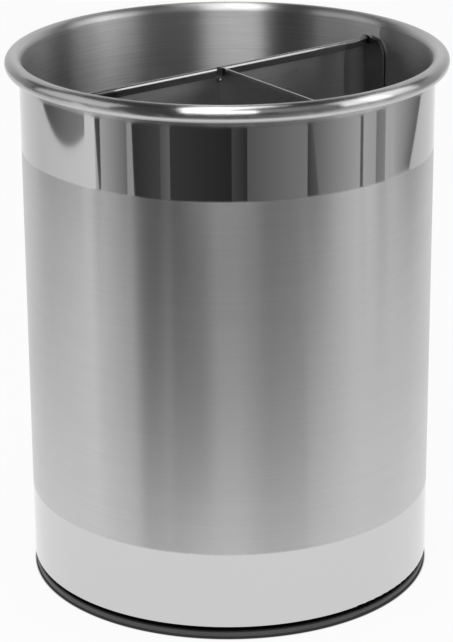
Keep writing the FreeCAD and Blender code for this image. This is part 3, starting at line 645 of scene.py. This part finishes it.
def ceiling_board(cloth):
    """Dark ceiling over the lamps, which draws the dark lines along the rolled rim."""
    corners = [from_camera_side(turn, distance=1.6, height=1.5) for turn in range(0, 360, 30)]
    mesh = bpy.data.meshes.new("ceiling")
    mesh.from_pydata(corners, [], [tuple(range(len(corners)))])
    only_in_mirrors("ceiling", mesh, [0.05] * len(corners), cloth)


def set_near_boards(cloth):
    """Cloths and cards close round the crock, which the mirror bands and the satin show."""
    def board(name, heights, places, greys, forward=0.0, **form):
        upright_board(name, cloth, NEAR - forward, heights, places, greys, **form)

    whole = (0.0, BOARD_TOP)
    board("left_side_far", whole, (-88, -60), (0.95, 0.7))
    board("left_side", whole, (-60, -37), (0.7, 0.86))
    board("left_cloth", whole, (-17.6, -23), (0.08, 0.04), lean=-2.8)
    board("left_fold", whole, (-17.6, -15), (0.12, 0.18))
    board("front_cloth", whole, (-15, 1), (0.055, 0.028))
    board("front_fold", whole, (1, 5), (0.08, 0.035))

    upper = (BOARD_SPLIT, BOARD_TOP)
    board("left_card", upper, (-37, -27), (0.6, 0.2))
    board("left_slit", upper, (-27, -25), (0.4, 0.42))
    board("right_card", upper, (5, 21), (0.13, 0.27))
    board("right_post", upper, (21, 25), (0.06, 0.13), forward=2 * MM, lean=-3.6)
    board("right_wing", upper, (21, 37), (0.14, 0.52))
    board("right_line", upper, (37, 38), (0.14, 0.14))
    board("right_panel", upper, (38, 42.6), (0.54, 0.5))
    board("right_seam", upper, (42.6, 46.2), (0.25, 0.32))
    board("right_edge", upper, (46.2, 50), (0.58, 0.56))
    board("right_side", upper, (56, 88), (0.62, 0.95))
    board("left_bowl", (0.131, BOARD_TOP), (-60.5, -40.5), (0.05, 0.3), forward=5 * MM, bow=18 * MM)
    board("left_post", (0.115, BOARD_TOP), (-35.2, -35.8), (0.08, 0.08), forward=2 * MM, lean=-1.9)
    board("right_curtain", (0.114, BOARD_TOP), (50, 57.5), (0.52, 0.13), forward=2 * MM, lean=11.5)
    board("right_low_side", (BOARD_SPLIT, 0.114), (50, 56), (0.75, 0.75))

    lower = (0.0, BOARD_SPLIT)
    board("left_low", lower, (-37, -22), (0.78, 0.35), forward=-3 * MM)
    board("front_low_card", lower, (5, 21), (0.05, 0.25))
    board("right_low_card", lower, (21, 36), (0.42, 0.72))
    board("right_low", lower, (36, 88), (0.74, 0.88))

    rail = (BOARD_TOP, RAIL_TOP)
    board("left_rail", rail, (-60, -15), (0.3, 0.08))
    board("front_rail", rail, (-15, 15), (0.06, 0.06))
    board("right_rail", rail, (15, 60), (0.08, 0.35))
    board("front_rail_top", (RAIL_TOP, 0.25), (-16, 12), (0.06, 0.06))
    board("front_left_lip", (0.1, 0.2244), (-15, -5), (0.055, 0.038), forward=70 * MM, shadow=True)


def set_far_boards(cloth):
    """Sheets and dark screens further out, which the rim, the inside and the divider show."""
    def board(name, heights, places, greys, forward=0.0):
        upright_board(name, cloth, FAR - forward, heights, places, greys)

    board("left_back", (0.1, 0.44), (-85, -56), (0.7, 0.2))
    board("left_sheet", (0.1, 0.8), (-54, -29), (0.7, 0.75))
    board("left_tall", (0.1, 1.0), (-29, -13), (0.08, 0.06))
    board("front_left_tall", (0.1, 0.37), (-14, -3), (0.08, 0.08))
    board("right_tall", (0.1, 0.46), (7, 27), (0.16, 0.2))
    board("right_tall_top", (0.46, 1.0), (8.2, 31), (0.4, 0.25))
    board("right_sheet", (0.1, 0.46), (28.5, 54), (1.5, 1.0))
    board("right_sheet_top", (0.46, 0.9), (31, 57), (1.2, 1.5))
    board("right_strip", (0.1, 0.62), (36.5, 43.5), (2.1, 2.1), forward=10 * MM)
    board("right_back", (0.1, 0.44), (54, 85), (0.25, 0.7))
    upright_board("left_back_sheet", cloth, BACK, (0.25, 1.5), (-89.5, -68), (0.7, 0.6))
    upright_board("right_back_sheet", cloth, BACK, (0.25, 1.5), (68, 89.5), (0.6, 0.7))
    upright_board("backdrop", cloth, BACKDROP, (0.1, 1.5), (-89, 89), (0.06, 0.06))


def set_the_boards():
    """Boards all round, each with the places of its two ends on the wall, in degrees, and its two greys."""
    cloth = board_cloth()
    set_near_boards(cloth)
    set_far_boards(cloth)
    ceiling_board(cloth)


place_camera()
light_the_room()
lay_floor()
hang_the_lamps()
set_the_boards()
bpy.context.scene.view_settings.view_transform = "Standard"
